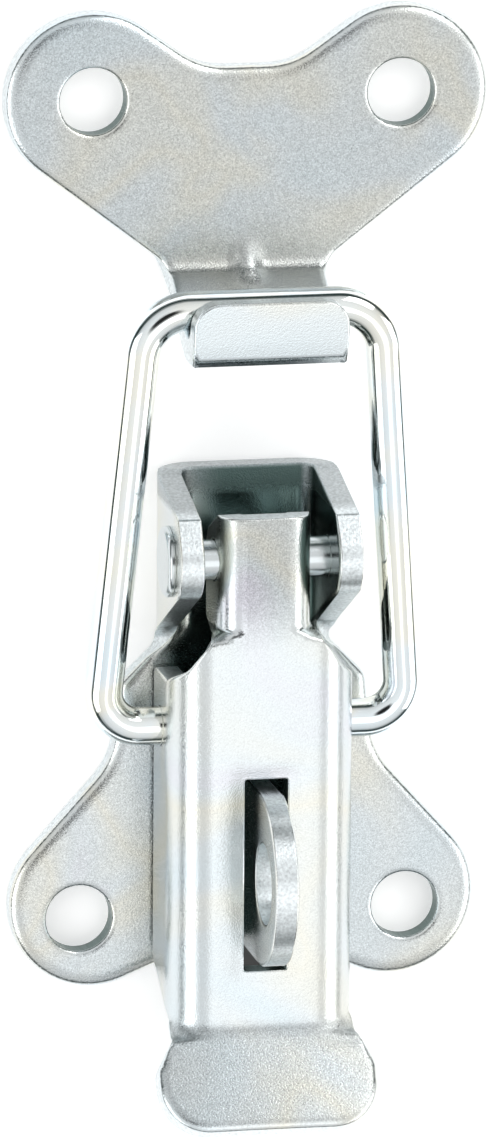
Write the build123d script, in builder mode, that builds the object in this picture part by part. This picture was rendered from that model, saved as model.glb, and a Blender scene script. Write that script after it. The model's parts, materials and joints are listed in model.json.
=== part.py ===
"""Over centre toggle latch: base plate, handle, wire bail, padlock eye and the hooked catch plate.

Both plates lie flat on the mounting plane Z = 0, and +Z points away from it. +Y runs from the base to
the catch, and X across. The origin is midway between the two screw holes of the base. Millimetres.
The latch is drawn closed, with the bail in the hook.
"""

import os
from math import atan2, cos, degrees, hypot, radians, sin, tan

from build123d import *

# ---------------------------------------------------------------- driving dimensions
SHEET = 2.5  # pressed steel strip of both plates and the lever
SCREW_HOLE = 6.8
RUNNING_FIT = 0.08  # radial, where the lever or the wire turns

# base plate
BASE_SPACING = 33.6  # between its two screw holes
BASE_LOBE_RADIUS = 8.5
BASE_LOBE_X = 15.4  # lobe centre, a little inside its hole
BASE_LOBE_Y = 1.3
BASE_FLANK_ANGLE = 48.0  # slope of a wing's upper edge
BASE_WAIST_HALF = 13.4
BASE_WAIST_BEND = 8.0
BASE_VALLEY_Y = -2.6  # middle of the lower edge
BASE_VALLEY_ANGLE = 25.0
BASE_VALLEY_BEND = 8.0
SHOULDER_HALF = 12.6  # plate beside the foot of the ears
SHOULDER_Y = 24.2
SHOULDER_CORNER = 1.8
FLOOR_PAST_PIVOT = 7.9

# ears of the base, bent up on both sides of its floor
EAR_OUTER_HALF = 9.3
EAR_BEND = 1.6  # inside radius
EAR_HEIGHT = 14.6
EAR_ROOT_BEFORE_PIVOT = 10.1  # foot of the lower edge
EAR_CREST_BEFORE_PIVOT = 2.9  # where the lower edge would meet the top edge
EAR_CREST_RADIUS = 5.0
EAR_TIP_PAST_PIVOT = 5.1  # sharp upper corner

# pivot rivet
PIVOT_Y = 38.5
PIVOT_Z = 10.2
RIVET_SHANK = 4.1
RIVET_HEAD = 7.2
RIVET_HEAD_THICK = 0.7
RIVET_TAIL = 5.6
RIVET_TAIL_THICK = 0.7
RIVET_RIM = 0.3  # edge of head and tail, broken by this much
RIVET_FIT = 0.04  # radial, in the ears

# lever
FACE_TOP = 14.2  # outer surface of the handle
NECK_HALF = 4.75
NECK_BEND = 0.9  # inside radius
NECK_PAST_PIVOT = 4.9
NECK_FLANGE = 4.1  # depth of the neck flanges below the pivot
NECK_END_RADIUS = 3.3
NECK_ROOT_Y = 31.0
NECK_FLANGE_ROOT_Y = 29.0
BODY_HALF = 9.5
BODY_BEND = 2.0  # inside radius
BODY_SHOULDER_Y = 26.2
FLANGE_BOTTOM = 3.4
FLANGE_FOOT_Y = -4.0  # where the flange starts to rise
FLANGE_TIP_Z = 10.6  # its lower edge at the crease
CREASE_Y = -9.2  # bend of the finger lip
CREASE_BEND = 2.0
LIP_ANGLE = 31.0
LIP_LENGTH = 10.4  # outer face, from the crease
LIP_HALF = 11.2
LIP_FLARE_LEAD = 0.4  # the lip widens from this far before the crease to as far past it
LIP_FLARE = 3.6  # and is full this far past it
LIP_FLARE_BEND = 2.0
LIP_CREASE_HALF = 9.4  # lip just past the crease
LIP_CORNER = 5.0
SLOT_WIDTH = 4.4

# padlock eye, and its clearances in the lever's slot
EYE_THICK = 2.4
EYE_Y = 6.9
EYE_RADIUS = 8.8
EYE_TOP = 25.0
EYE_HOLE = 8.2
EYE_WALL = 2.5  # sheet left above the hole
EYE_TENON = 9.0  # tongue staked through the base plate
EYE_RIM = 0.35  # its edges, broken by this much
SLOT_GAP_LIP_SIDE = 1.3
SLOT_GAP_PIVOT_SIDE = 0.9

# wire bail
WIRE = 3.9
WIRE_PIVOT_Y = 20.8
WIRE_PIVOT_Z = 6.6
BAIL_TOP_HALF = 14.0  # outside, at the catch
BAIL_FOOT_HALF = 17.6  # outside, at the lever
BAIL_TOP_BEND = 5.0  # centre line
BAIL_FOOT_BEND = 3.8
WIRE_GAP = 1.6  # between the butting ends inside the lever
WIRE_END_BREAK = 0.5
CLEARANCE_UNDER_TAB = 0.45
CLEARANCE_AT_RAMP = 0.3

# catch plate
CATCH_Y = 84.0  # line of its two screw holes
CATCH_SPACING = 31.4
CATCH_LOBE_RADIUS = 8.9
CATCH_FLANK_ANGLE = 37.0
CATCH_FLANK_BEND = 3.0
CATCH_VALLEY_RISE = 3.1  # middle of the upper edge, above the hole line
CATCH_VALLEY_ANGLE = 35.0
CATCH_VALLEY_BEND = 8.0
CATCH_NECK_HALF = 7.9
RAMP_FOOT_Y = 66.9  # where the plate's front face would meet the ramp's
RAMP_ANGLE = 57.5
RAMP_BEND = 2.0
TAB_TOP = 15.8
TAB_BEND = 1.9
TAB_END_Y = 65.7
TAB_CORNER = 2.6
RIB_RADIUS = 1.5  # stiffening rib pressed across the foot of the ramp
RIB_PROUD = 0.9
RIB_HALF_LENGTH = 2.3

# ---------------------------------------------------------------- sizes that follow
FLOOR_END_Y = PIVOT_Y + FLOOR_PAST_PIVOT
EAR_ROOT_Y = PIVOT_Y - EAR_ROOT_BEFORE_PIVOT
EAR_CREST_Y = PIVOT_Y - EAR_CREST_BEFORE_PIVOT
EAR_TIP_Y = PIVOT_Y + EAR_TIP_PAST_PIVOT
NECK_END_Y = PIVOT_Y + NECK_PAST_PIVOT
FACE_UNDER = FACE_TOP - SHEET
TAB_UNDER = TAB_TOP - SHEET
WIRE_RADIUS = WIRE / 2
EYE_HOLE_Z = EYE_TOP - EYE_WALL - EYE_HOLE / 2
SLOT_MIN_Y = EYE_Y - EYE_RADIUS - SLOT_GAP_LIP_SIDE
SLOT_MAX_Y = EYE_Y + EYE_RADIUS + SLOT_GAP_PIVOT_SIDE

# the wire lies in the upper corner between ramp and tab, just clear of both
HOOK_Z = TAB_UNDER - CLEARANCE_UNDER_TAB - WIRE_RADIUS
HOOK_Y = (
    RAMP_FOOT_Y
    - (HOOK_Z - SHEET) / tan(radians(RAMP_ANGLE))
    + (WIRE_RADIUS + CLEARANCE_AT_RAMP) / sin(radians(RAMP_ANGLE))
)
FAR = 200.0  # past every edge, for cuts


def mirrored(points):
    """Right-hand outline points, followed by their mirror image across X = 0."""
    return points + [(-x, y) for x, y in reversed(points)]


def corners_at(sketch, point):
    """The outline vertices at one point of a sketch and at its mirror image."""
    return [v for v in sketch.vertices() if hypot(abs(v.X) - point[0], v.Y - point[1]) < 1e-4]


def wing(lobe, radius, flank_angle, waist_half, valley_y, valley_angle, way):
    """Right-hand points of a plate outline, from its waist round the lobe to the valley.

    The straight flank and the straight side of the valley are tangents of the lobe's circle. way is 1
    where the waist is above the lobe in Y, and -1 where it is below.
    """
    centre_x, centre_y = lobe
    slope, dip = radians(flank_angle), radians(valley_angle)
    flank = (centre_x + radius * sin(slope), centre_y + way * radius * cos(slope))
    waist = (waist_half, flank[1] + way * (flank[0] - waist_half) * tan(slope))
    turn = (centre_x - radius * sin(dip), centre_y - way * radius * cos(dip))
    valley = (turn[0] - abs(valley_y - turn[1]) / tan(dip), valley_y)
    return [waist, flank, lobe, turn, valley]


def channel(outer_half, web, tips, bend):
    """Closed outline of a folded channel section, web at one level and the flange tips at another."""
    way = 1 if tips > web else -1
    with BuildSketch() as section:
        with BuildLine():
            inside = FilletPolyline(
                (outer_half - SHEET, tips),
                (outer_half - SHEET, web + way * SHEET),
                (SHEET - outer_half, web + way * SHEET),
                (SHEET - outer_half, tips),
                radius=bend,
            )
            outside = FilletPolyline(
                (outer_half, tips),
                (outer_half, web),
                (-outer_half, web),
                (-outer_half, tips),
                radius=bend + SHEET,
            )
            Line(inside @ 0, outside @ 0)
            Line(inside @ 1, outside @ 1)
        make_face()
    return section.sketch


# ---------------------------------------------------------------- catch plate
catch_wing = wing(
    lobe=(CATCH_SPACING / 2, CATCH_Y),
    radius=CATCH_LOBE_RADIUS,
    flank_angle=CATCH_FLANK_ANGLE,
    waist_half=CATCH_NECK_HALF,
    valley_y=CATCH_Y + CATCH_VALLEY_RISE,
    valley_angle=CATCH_VALLEY_ANGLE,
    way=-1,
)
ramp_way = Vector(0, -cos(radians(RAMP_ANGLE)), sin(radians(RAMP_ANGLE)))
rib_up = (ramp_way + Vector(0, 1, 0)).normalized()  # out of the bend, halfway between its two faces
rib_along = (ramp_way - Vector(0, 1, 0)).normalized()
bend_depth = RAMP_BEND / cos(radians(RAMP_ANGLE / 2)) - RAMP_BEND  # from the sharp corner to the bend
rib_axis = Vector(0, RAMP_FOOT_Y, SHEET) + rib_up * (bend_depth + RIB_PROUD - RIB_RADIUS)

with BuildPart() as catch_plate:
    # side profile: plate, ramp, and the tab folded back over the plate
    with BuildSketch(Plane.YZ):
        with BuildLine():
            front = FilletPolyline(
                (CATCH_Y + 2 * CATCH_LOBE_RADIUS, SHEET),
                (RAMP_FOOT_Y, SHEET),
                (RAMP_FOOT_Y - (TAB_UNDER - SHEET) / tan(radians(RAMP_ANGLE)), TAB_UNDER),
                (TAB_END_Y, TAB_UNDER),
                radius=[RAMP_BEND, TAB_BEND],
            )
            offset(front, amount=SHEET, side=Side.LEFT)
        make_face()
    extrude(amount=FAR, both=True)
    # plan outline
    with BuildSketch() as catch_outline:
        with Locations((0, CATCH_Y)):
            with GridLocations(CATCH_SPACING, 0, 2, 1):
                Circle(CATCH_LOBE_RADIUS)
        below_tab = (CATCH_NECK_HALF, RAMP_FOOT_Y - 2 * TAB_TOP)
        Polygon(*mirrored([below_tab] + catch_wing), align=None)
        fillet(corners_at(catch_outline, catch_wing[0]), radius=CATCH_FLANK_BEND)
        fillet(corners_at(catch_outline, catch_wing[-1]), radius=CATCH_VALLEY_BEND)
    extrude(amount=FAR, mode=Mode.INTERSECT)
    # free corners of the tab
    with BuildSketch(Plane.XY.offset(TAB_UNDER - TAB_BEND)):
        for side in (-1, 1):
            with Locations((side * CATCH_NECK_HALF, TAB_END_Y)):
                Rectangle(2 * TAB_CORNER, 2 * TAB_CORNER)
            with Locations((side * (CATCH_NECK_HALF - TAB_CORNER), TAB_END_Y - TAB_CORNER)):
                Circle(TAB_CORNER, mode=Mode.SUBTRACT)
    extrude(amount=TAB_TOP, mode=Mode.SUBTRACT)
    # the rib stands proud inside the bend, and is hollow by as much behind it
    with BuildSketch(Plane(origin=rib_axis, x_dir=(1, 0, 0), z_dir=rib_along)):
        Circle(RIB_RADIUS)
    extrude(amount=RIB_HALF_LENGTH, both=True)
    with BuildSketch(Plane(origin=rib_axis - rib_up * SHEET, x_dir=(1, 0, 0), z_dir=rib_along)):
        Circle(RIB_RADIUS)
    extrude(amount=2 * RIB_HALF_LENGTH, both=True, mode=Mode.SUBTRACT)
    with Locations((0, CATCH_Y, SHEET)):
        with GridLocations(CATCH_SPACING, 0, 2, 1):
            Hole(SCREW_HOLE / 2, depth=SHEET)
catch_plate.part.label = "catch_plate"

# ---------------------------------------------------------------- base plate
base_wing = wing(
    lobe=(BASE_LOBE_X, BASE_LOBE_Y),
    radius=BASE_LOBE_RADIUS,
    flank_angle=BASE_FLANK_ANGLE,
    waist_half=BASE_WAIST_HALF,
    valley_y=BASE_VALLEY_Y,
    valley_angle=BASE_VALLEY_ANGLE,
    way=1,
)
floor_half = EAR_OUTER_HALF - SHEET - EAR_BEND  # flat floor between the bends of the ears
shoulder = (SHOULDER_HALF, SHOULDER_Y)

with BuildPart() as base_plate:
    # channel at the upper end, cut to the side outline of the ears
    with BuildSketch(Plane.XZ.offset(-FLOOR_END_Y)):
        add(channel(EAR_OUTER_HALF, web=0, tips=EAR_HEIGHT, bend=EAR_BEND))
    extrude(amount=FLOOR_END_Y - SHOULDER_Y)
    with BuildSketch(Plane.YZ) as ear_outline:
        ear_crest = (EAR_CREST_Y, EAR_HEIGHT)
        Polygon(
            (EAR_ROOT_Y, 0),
            (FLOOR_END_Y, 0),
            (FLOOR_END_Y, SHEET),
            (EAR_TIP_Y, EAR_HEIGHT),
            ear_crest,
            align=None,
        )
        fillet(corners_at(ear_outline, ear_crest), radius=EAR_CREST_RADIUS)
    extrude(amount=FAR, both=True, mode=Mode.INTERSECT)
    # flat plate with its two wings, carried on as the floor between the ears
    with BuildSketch() as base_outline:
        for side in (-1, 1):
            with Locations((side * BASE_LOBE_X, BASE_LOBE_Y)):
                Circle(BASE_LOBE_RADIUS)
        floor = [(floor_half, FLOOR_END_Y), (floor_half, EAR_ROOT_Y), (EAR_OUTER_HALF - EAR_BEND, EAR_ROOT_Y)]
        Polygon(*mirrored(floor + [shoulder] + base_wing), align=None)
        fillet(corners_at(base_outline, shoulder), radius=SHOULDER_CORNER)
        fillet(corners_at(base_outline, base_wing[0]), radius=BASE_WAIST_BEND)
        fillet(corners_at(base_outline, base_wing[-1]), radius=BASE_VALLEY_BEND)
    extrude(amount=SHEET)
    with Locations((0, 0, SHEET)):
        with GridLocations(BASE_SPACING, 0, 2, 1):
            Hole(SCREW_HOLE / 2, depth=SHEET)
    # slot for the tongue of the padlock eye
    with BuildSketch():
        with Locations((0, EYE_Y)):
            Rectangle(EYE_THICK, EYE_TENON)
    extrude(amount=SHEET, mode=Mode.SUBTRACT)
    # rivet holes
    with BuildSketch(Plane.YZ):
        with Locations((PIVOT_Y, PIVOT_Z)):
            Circle(RIVET_SHANK / 2 + RIVET_FIT)
    extrude(amount=FAR, both=True, mode=Mode.SUBTRACT)
base_plate.part.label = "base_plate"

# ---------------------------------------------------------------- padlock eye
with BuildPart() as lock_staple:
    with BuildSketch(Plane.YZ):
        eye_arc_z = EYE_TOP - EYE_RADIUS
        with Locations((EYE_Y, eye_arc_z)):
            Circle(EYE_RADIUS)
        with Locations((EYE_Y, (SHEET + eye_arc_z) / 2)):
            Rectangle(2 * EYE_RADIUS, eye_arc_z - SHEET)
        with Locations((EYE_Y, EYE_HOLE_Z)):
            Circle(EYE_HOLE / 2, mode=Mode.SUBTRACT)
    extrude(amount=EYE_THICK / 2, both=True)
    rims = lock_staple.faces().filter_by(Axis.X).edges().filter_by(lambda e: e.center().Z > SHEET + EYE_RIM)
    chamfer(rims, length=EYE_RIM)
    with BuildSketch(Plane.YZ):
        with Locations((EYE_Y, SHEET / 2)):
            Rectangle(EYE_TENON, SHEET)
    extrude(amount=EYE_THICK / 2, both=True)
lock_staple.part.label = "lock_staple"

# ---------------------------------------------------------------- pivot rivet
pivot_axis = Axis((0, PIVOT_Y, PIVOT_Z), (1, 0, 0))

with BuildPart() as pivot_rivet:
    with BuildSketch(Plane((0, PIVOT_Y, PIVOT_Z))):
        with BuildLine():
            Polyline(
                (-EAR_OUTER_HALF - RIVET_HEAD_THICK, 0),
                (-EAR_OUTER_HALF - RIVET_HEAD_THICK, RIVET_HEAD / 2),
                (-EAR_OUTER_HALF, RIVET_HEAD / 2),
                (-EAR_OUTER_HALF, RIVET_SHANK / 2),
                (EAR_OUTER_HALF, RIVET_SHANK / 2),
                (EAR_OUTER_HALF, RIVET_TAIL / 2),
                (EAR_OUTER_HALF + RIVET_TAIL_THICK, RIVET_TAIL / 2),
                (EAR_OUTER_HALF + RIVET_TAIL_THICK, 0),
                close=True,
            )
        make_face()
    revolve(axis=pivot_axis)
    ends = pivot_rivet.faces().sort_by(Axis.X)
    chamfer([ends[0].edge(), ends[-1].edge()], length=RIVET_RIM)
pivot_rivet.part.label = "pivot_rivet"

# ---------------------------------------------------------------- lever
lip_rise, lip_run = sin(radians(LIP_ANGLE)), cos(radians(LIP_ANGLE))
lip_plane = Plane(origin=(0, CREASE_Y, FACE_TOP), x_dir=(1, 0, 0), z_dir=(0, lip_rise, lip_run))
web_half = BODY_HALF - SHEET - BODY_BEND  # flat web between the bends of the body
shoulder_slope = (NECK_ROOT_Y - BODY_SHOULDER_Y) / (BODY_HALF - NECK_HALF)
neck_flange_z = PIVOT_Z - NECK_FLANGE

with BuildPart() as lever:
    # finger lip: the web carried past the body, bent up and widened
    with BuildSketch(Plane.YZ):
        with BuildLine():
            lip_top = FilletPolyline(
                (CREASE_Y + 2 * CREASE_BEND, FACE_TOP),
                (CREASE_Y, FACE_TOP),
                (CREASE_Y - LIP_LENGTH * lip_run, FACE_TOP + LIP_LENGTH * lip_rise),
                radius=CREASE_BEND,
            )
            offset(lip_top, amount=SHEET, side=Side.LEFT)
        make_face()
    extrude(amount=LIP_HALF, both=True)
    with BuildSketch(lip_plane) as lip_outline:
        flare = [
            (web_half, LIP_FLARE_LEAD),
            (LIP_CREASE_HALF, -LIP_FLARE_LEAD),
            (LIP_HALF, -LIP_FLARE),
        ]
        lip_corner = (LIP_HALF, -LIP_LENGTH)
        Polygon(*mirrored([(web_half, 3 * SHEET)] + flare + [lip_corner]), align=None)
        fillet(corners_at(lip_outline, flare[-1]), radius=LIP_FLARE_BEND)
        fillet(corners_at(lip_outline, lip_corner), radius=LIP_CORNER)
    extrude(amount=FAR, both=True, mode=Mode.INTERSECT)
    # body channel, with raw-cut shoulders at the neck and flanges that run out before the crease
    with BuildSketch(Plane.XZ.offset(-NECK_ROOT_Y)):
        add(channel(BODY_HALF, web=FACE_TOP, tips=FLANGE_BOTTOM, bend=BODY_BEND))
    extrude(amount=NECK_ROOT_Y - CREASE_Y)
    with BuildSketch():
        for side in (-1, 1):
            Polygon(
                (side * NECK_HALF, NECK_ROOT_Y),
                (side * NECK_HALF, FAR),
                (side * FAR, FAR),
                (side * FAR, NECK_ROOT_Y - shoulder_slope * (FAR - NECK_HALF)),
                align=None,
            )
    extrude(amount=FAR, mode=Mode.SUBTRACT)
    with BuildSketch(Plane.YZ):
        Polygon(
            (FLANGE_FOOT_Y, FLANGE_BOTTOM - SHEET),
            (FLANGE_FOOT_Y, FLANGE_BOTTOM),
            (CREASE_Y, FLANGE_TIP_Z),
            (CREASE_Y - SHEET, FLANGE_TIP_Z),
            (CREASE_Y - SHEET, FLANGE_BOTTOM - SHEET),
            align=None,
        )
    extrude(amount=FAR, both=True, mode=Mode.SUBTRACT)
    # neck channel, which turns between the ears
    with BuildSketch(Plane.XZ.offset(-NECK_END_Y)):
        add(channel(NECK_HALF, web=FACE_TOP, tips=neck_flange_z, bend=NECK_BEND))
    extrude(amount=NECK_END_Y - NECK_FLANGE_ROOT_Y)
    flange_ends = [e for e in lever.edges().filter_by(Axis.X) if abs(e.center().Z - neck_flange_z) < 1e-3]
    fillet(flange_ends, radius=NECK_END_RADIUS)
    # slot that the padlock eye passes through
    with BuildSketch(Plane.XY.offset(FACE_UNDER)):
        with Locations((0, (SLOT_MIN_Y + SLOT_MAX_Y) / 2)):
            Rectangle(SLOT_WIDTH, SLOT_MAX_Y - SLOT_MIN_Y)
    extrude(amount=SHEET, mode=Mode.SUBTRACT)
    # bearing holes: the rivet through the neck, the wire through the body
    with BuildSketch(Plane.YZ):
        with Locations((PIVOT_Y, PIVOT_Z)):
            Circle(RIVET_SHANK / 2 + RUNNING_FIT)
        with Locations((WIRE_PIVOT_Y, WIRE_PIVOT_Z)):
            Circle(WIRE_RADIUS + RUNNING_FIT)
    extrude(amount=BODY_HALF, both=True, mode=Mode.SUBTRACT)
lever.part.label = "lever"

# ---------------------------------------------------------------- wire bail
bail_length = hypot(HOOK_Y - WIRE_PIVOT_Y, HOOK_Z - WIRE_PIVOT_Z)
bail_tilt = atan2(HOOK_Z - WIRE_PIVOT_Z, HOOK_Y - WIRE_PIVOT_Y)
bail_plane = Plane(
    origin=(0, WIRE_PIVOT_Y, WIRE_PIVOT_Z),
    x_dir=(1, 0, 0),
    z_dir=(0, -sin(bail_tilt), cos(bail_tilt)),
)

with BuildPart() as bail:
    with BuildLine(bail_plane) as bail_path:
        foot = (BAIL_FOOT_HALF - WIRE_RADIUS, 0)
        top = (BAIL_TOP_HALF - WIRE_RADIUS, bail_length)
        FilletPolyline(
            (WIRE_GAP / 2, 0),
            foot,
            top,
            (-top[0], top[1]),
            (-foot[0], foot[1]),
            (-WIRE_GAP / 2, 0),
            radius=[BAIL_FOOT_BEND, BAIL_TOP_BEND, BAIL_TOP_BEND, BAIL_FOOT_BEND],
        )
    with BuildSketch(Plane(origin=bail_path.line @ 0, z_dir=bail_path.line % 0)):
        Circle(WIRE_RADIUS)
    sweep()
    cut_ends = [f.edge() for f in bail.faces().filter_by(GeomType.PLANE)]
    chamfer(cut_ends, length=WIRE_END_BREAK)
bail.part.label = "bail"

# ---------------------------------------------------------------- files
os.makedirs("parts", exist_ok=True)
for piece in (base_plate, lock_staple, pivot_rivet, lever, bail, catch_plate):
    export_step(piece.part, f"parts/{piece.part.label}.step")
print("hook", round(HOOK_Y, 2), round(HOOK_Z, 2), "bail", round(bail_length, 2), round(degrees(bail_tilt), 2))
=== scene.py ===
"""Over centre toggle latch in bright zinc plate, on a pale studio floor.

The sheet metal pieces are made as the shop makes them: a flat blank with its punched edges is worked out
first, and a shape function then folds it. Lengths are in metres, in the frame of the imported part: both
plates lie flat on Z = 0, +Y runs from the base to the catch and X across.
"""

import json
from math import atan2, cos, degrees, pi, radians, sin, tan

import bpy
import numpy as np
from bpy.props import FloatProperty, FloatVectorProperty, PointerProperty
from mathutils import Matrix, Vector
from mathutils.geometry import delaunay_2d_cdt


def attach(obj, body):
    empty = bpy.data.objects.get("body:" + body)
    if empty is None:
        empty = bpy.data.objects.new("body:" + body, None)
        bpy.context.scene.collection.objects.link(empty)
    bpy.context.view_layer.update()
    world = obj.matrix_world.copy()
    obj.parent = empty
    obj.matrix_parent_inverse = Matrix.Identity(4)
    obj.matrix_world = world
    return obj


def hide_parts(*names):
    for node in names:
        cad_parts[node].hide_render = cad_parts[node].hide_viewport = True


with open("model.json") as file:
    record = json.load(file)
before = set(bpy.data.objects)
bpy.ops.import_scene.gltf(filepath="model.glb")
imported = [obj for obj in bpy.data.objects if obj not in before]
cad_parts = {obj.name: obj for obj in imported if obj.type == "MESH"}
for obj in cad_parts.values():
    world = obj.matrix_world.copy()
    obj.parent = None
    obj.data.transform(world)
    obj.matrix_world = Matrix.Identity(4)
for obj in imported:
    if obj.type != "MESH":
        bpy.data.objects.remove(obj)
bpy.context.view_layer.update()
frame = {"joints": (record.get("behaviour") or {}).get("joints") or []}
joint_at = {joint["name"]: joint["pos_m"] for joint in frame["joints"]}

bl_info = {
    "name": "Over centre toggle latch",
    "version": (1, 0, 0),
    "blender": (4, 5, 0),
    "location": "3D View > Sidebar > Latch",
    "description": "Builds a zinc plated over centre toggle latch from folded blanks, wire and a rivet",
    "category": "Add Mesh",
}

MM = 0.001
ARC_STEP = 0.45 * MM  # longest chord of a rounded corner
RIM_STEP = 0.8 * MM  # spacing of points along the straight runs of an outline
TOUCHING = 0.0001 * MM  # arcs nearer than this share their point
WALL_REACH = 0.02 * MM  # how far a point may lie from a cut and still belong to its wall
HOLE_ROLL = 0.7 * MM  # width of the rounding round the screw holes
SIDE_FACE = 1  # material index of a punched edge's wall

LENGTH = {"unit": "LENGTH", "precision": 5}
ANGLE = {"subtype": "ANGLE"}
COLOUR = {"subtype": "COLOR", "size": 3}


# ---------------------------------------------------------------- sizes and colours a user would change
class LatchSheet(bpy.types.PropertyGroup):
    """Pressed steel strip of both plates and the lever"""

    thickness: FloatProperty(name="Thickness", description="Gauge of the strip", default=2.5 * MM, **LENGTH)
    roll: FloatProperty(name="Edge roll", description="Rounding left by the punch", default=1.7 * MM, **LENGTH)
    small_roll: FloatProperty(name="Cut roll", description="The same at cuts", default=0.4 * MM, **LENGTH)
    burr: FloatProperty(name="Burr", description="Break on the side of the burr", default=0.15 * MM, **LENGTH)
    spacing: FloatProperty(name="Spacing", description="Mesh spacing in a blank", default=0.6 * MM, **LENGTH)


class LatchBase(bpy.types.PropertyGroup):
    """Base plate with its two wings and the folded ears"""

    screw_hole: FloatProperty(name="Screw hole", description="Diameter, both plates", default=6.8 * MM, **LENGTH)
    ear_half: FloatProperty(name="Ears", description="Middle to outside of an ear", default=9.3 * MM, **LENGTH)
    ear_bend: FloatProperty(name="Ear bend", description="Inside radius at the foot", default=1.6 * MM, **LENGTH)
    waist_half: FloatProperty(name="Waist", description="Half width at the waist", default=13.4 * MM, **LENGTH)


class LatchLever(bpy.types.PropertyGroup):
    """Folded handle with its neck, slot and finger lip"""

    body_half: FloatProperty(name="Body", description="Middle to outside of a flange", default=9.5 * MM, **LENGTH)
    body_bend: FloatProperty(name="Body bend", description="Inside radius of the body", default=2 * MM, **LENGTH)
    neck_half: FloatProperty(name="Neck", description="Half width of the neck", default=4.75 * MM, **LENGTH)
    neck_bend: FloatProperty(name="Neck bend", description="Inside radius of the neck", default=0.2 * MM, **LENGTH)
    lip_angle: FloatProperty(name="Lip angle", description="Rise of the finger lip", default=radians(31), **ANGLE)
    slot_width: FloatProperty(name="Slot", description="Slot of the padlock eye", default=4.4 * MM, **LENGTH)


class LatchCatch(bpy.types.PropertyGroup):
    """Catch plate with its ramp and hooked tab"""

    neck_half: FloatProperty(name="Hook", description="Half width of ramp and tab", default=7.9 * MM, **LENGTH)
    ramp_angle: FloatProperty(name="Ramp angle", description="Slope of the ramp", default=radians(57.5), **ANGLE)
    ramp_bend: FloatProperty(name="Ramp bend", description="Inside radius at the foot", default=2 * MM, **LENGTH)
    tab_bend: FloatProperty(name="Hook bend", description="Inside radius of the hook", default=1.9 * MM, **LENGTH)


class LatchFittings(bpy.types.PropertyGroup):
    """Wire bail, padlock eye and rivet"""

    wire: FloatProperty(name="Wire", description="Diameter of the bail's wire", default=3.9 * MM, **LENGTH)
    eye_thickness: FloatProperty(name="Eye", description="Thickness of the eye", default=2.4 * MM, **LENGTH)
    eye_hole: FloatProperty(name="Padlock hole", description="Diameter in the eye", default=8.2 * MM, **LENGTH)
    rivet_head: FloatProperty(name="Rivet head", description="Diameter of the head", default=7.2 * MM, **LENGTH)
    rivet_tail: FloatProperty(name="Rivet tail", description="Diameter, peened tail", default=5.6 * MM, **LENGTH)


def hex_colour(text):
    """Linear red, green and blue of an sRGB hex colour: v / 12.92 to 0.04045, else ((v + 0.055) / 1.055) ^ 2.4."""
    value = np.array([int(text[i : i + 2], 16) / 255 for i in (1, 3, 5)])
    return tuple(np.where(value <= 0.04045, value / 12.92, ((value + 0.055) / 1.055) ** 2.4))


class LatchFinish(bpy.types.PropertyGroup):
    """Colours of the bright zinc plate, its clear passivation and the studio"""

    plate: FloatVectorProperty(name="Zinc", description="Plated strip", default=hex_colour("#D2D8DA"), **COLOUR)
    straw: FloatVectorProperty(name="Straw", description="Warm film", default=hex_colour("#D8D8D0"), **COLOUR)
    blue: FloatVectorProperty(name="Blue", description="Cool film", default=hex_colour("#CCD7DC"), **COLOUR)
    lilac: FloatVectorProperty(name="Lilac", description="Violet film", default=hex_colour("#D2D1DA"), **COLOUR)
    # painted shade: the dark colour laid on the plating in channels, folds, slots and holes, where shade falls
    painted_shade: FloatVectorProperty(name="Recess", description="Thin plating", default=hex_colour("#5F7370"), **COLOUR)
    room: FloatVectorProperty(name="Room", description="Dark walls", default=hex_colour("#33403F"), **COLOUR)
    floor: FloatVectorProperty(name="Floor", description="Studio paper", default=hex_colour("#F7F7F7"), **COLOUR)


class LatchStudio(bpy.types.PropertyGroup):
    """Camera, set by its turns from straight above"""

    azimuth: FloatProperty(name="Azimuth", description="Turn towards -X", default=radians(11.64), **ANGLE)
    elevation: FloatProperty(name="Tilt", description="Tilt towards +Y", default=radians(12.96), **ANGLE)
    roll: FloatProperty(name="Roll", description="Turn about its own view", default=radians(0.4), **ANGLE)
    distance: FloatProperty(name="Distance", description="To the middle of the latch", default=1.4085, **LENGTH)
    lens: FloatProperty(name="Lens", description="Focal length, 24 mm sensor", default=293.9, unit="CAMERA")


# ---------------------------------------------------------------- flat outlines
# A row of an outline is x, y, the outward normal's x and y, and the width of the edge roll there. An outline
# keeps the sheet on its left: anticlockwise round a plate, clockwise round a hole.


def turned(centre, radius, start, end, roll):
    """Arc of an outline: centre + radius * (cos a, sin a), a turning evenly from start to end in degrees.

    The outward normal is that direction, reversed where the arc runs clockwise.
    """
    count = max(4, int(np.ceil(radius * radians(abs(end - start)) / ARC_STEP)))
    angle = np.radians(np.linspace(start, end, count + 1))
    way = np.stack([np.cos(angle), np.sin(angle)], 1)
    outward = way * np.sign(end - start)
    return np.column_stack([np.asarray(centre) + radius * way, outward, np.full(count + 1, roll)])


def corner(before, at, after, radius, roll):
    """Tangent arc at a corner: its centre lies on the bisector, radius / sin(half the corner's angle) away."""
    before, at, after = (np.asarray(p, float) for p in (before, at, after))
    a = (before - at) / np.linalg.norm(before - at)
    b = (after - at) / np.linalg.norm(after - at)
    half = np.arccos(np.clip(a @ b, -1, 1)) / 2
    centre = at + (a + b) / np.linalg.norm(a + b) * radius / np.sin(half)
    start, end = (at + side * radius / np.tan(half) - centre for side in (a, b))
    first = degrees(atan2(start[1], start[0]))
    turn = (degrees(atan2(end[1], end[0])) - first + 180) % 360 - 180
    return turned(centre, radius, first, first + turn, roll)


def corners(points):
    """Arcs at the inner points of a chain of (x, y, radius, roll)."""
    return [
        corner(before[:2], (x, y), after[:2], radius, roll)
        for before, (x, y, radius, roll), after in zip(points, points[1:], points[2:])
    ]


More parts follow.
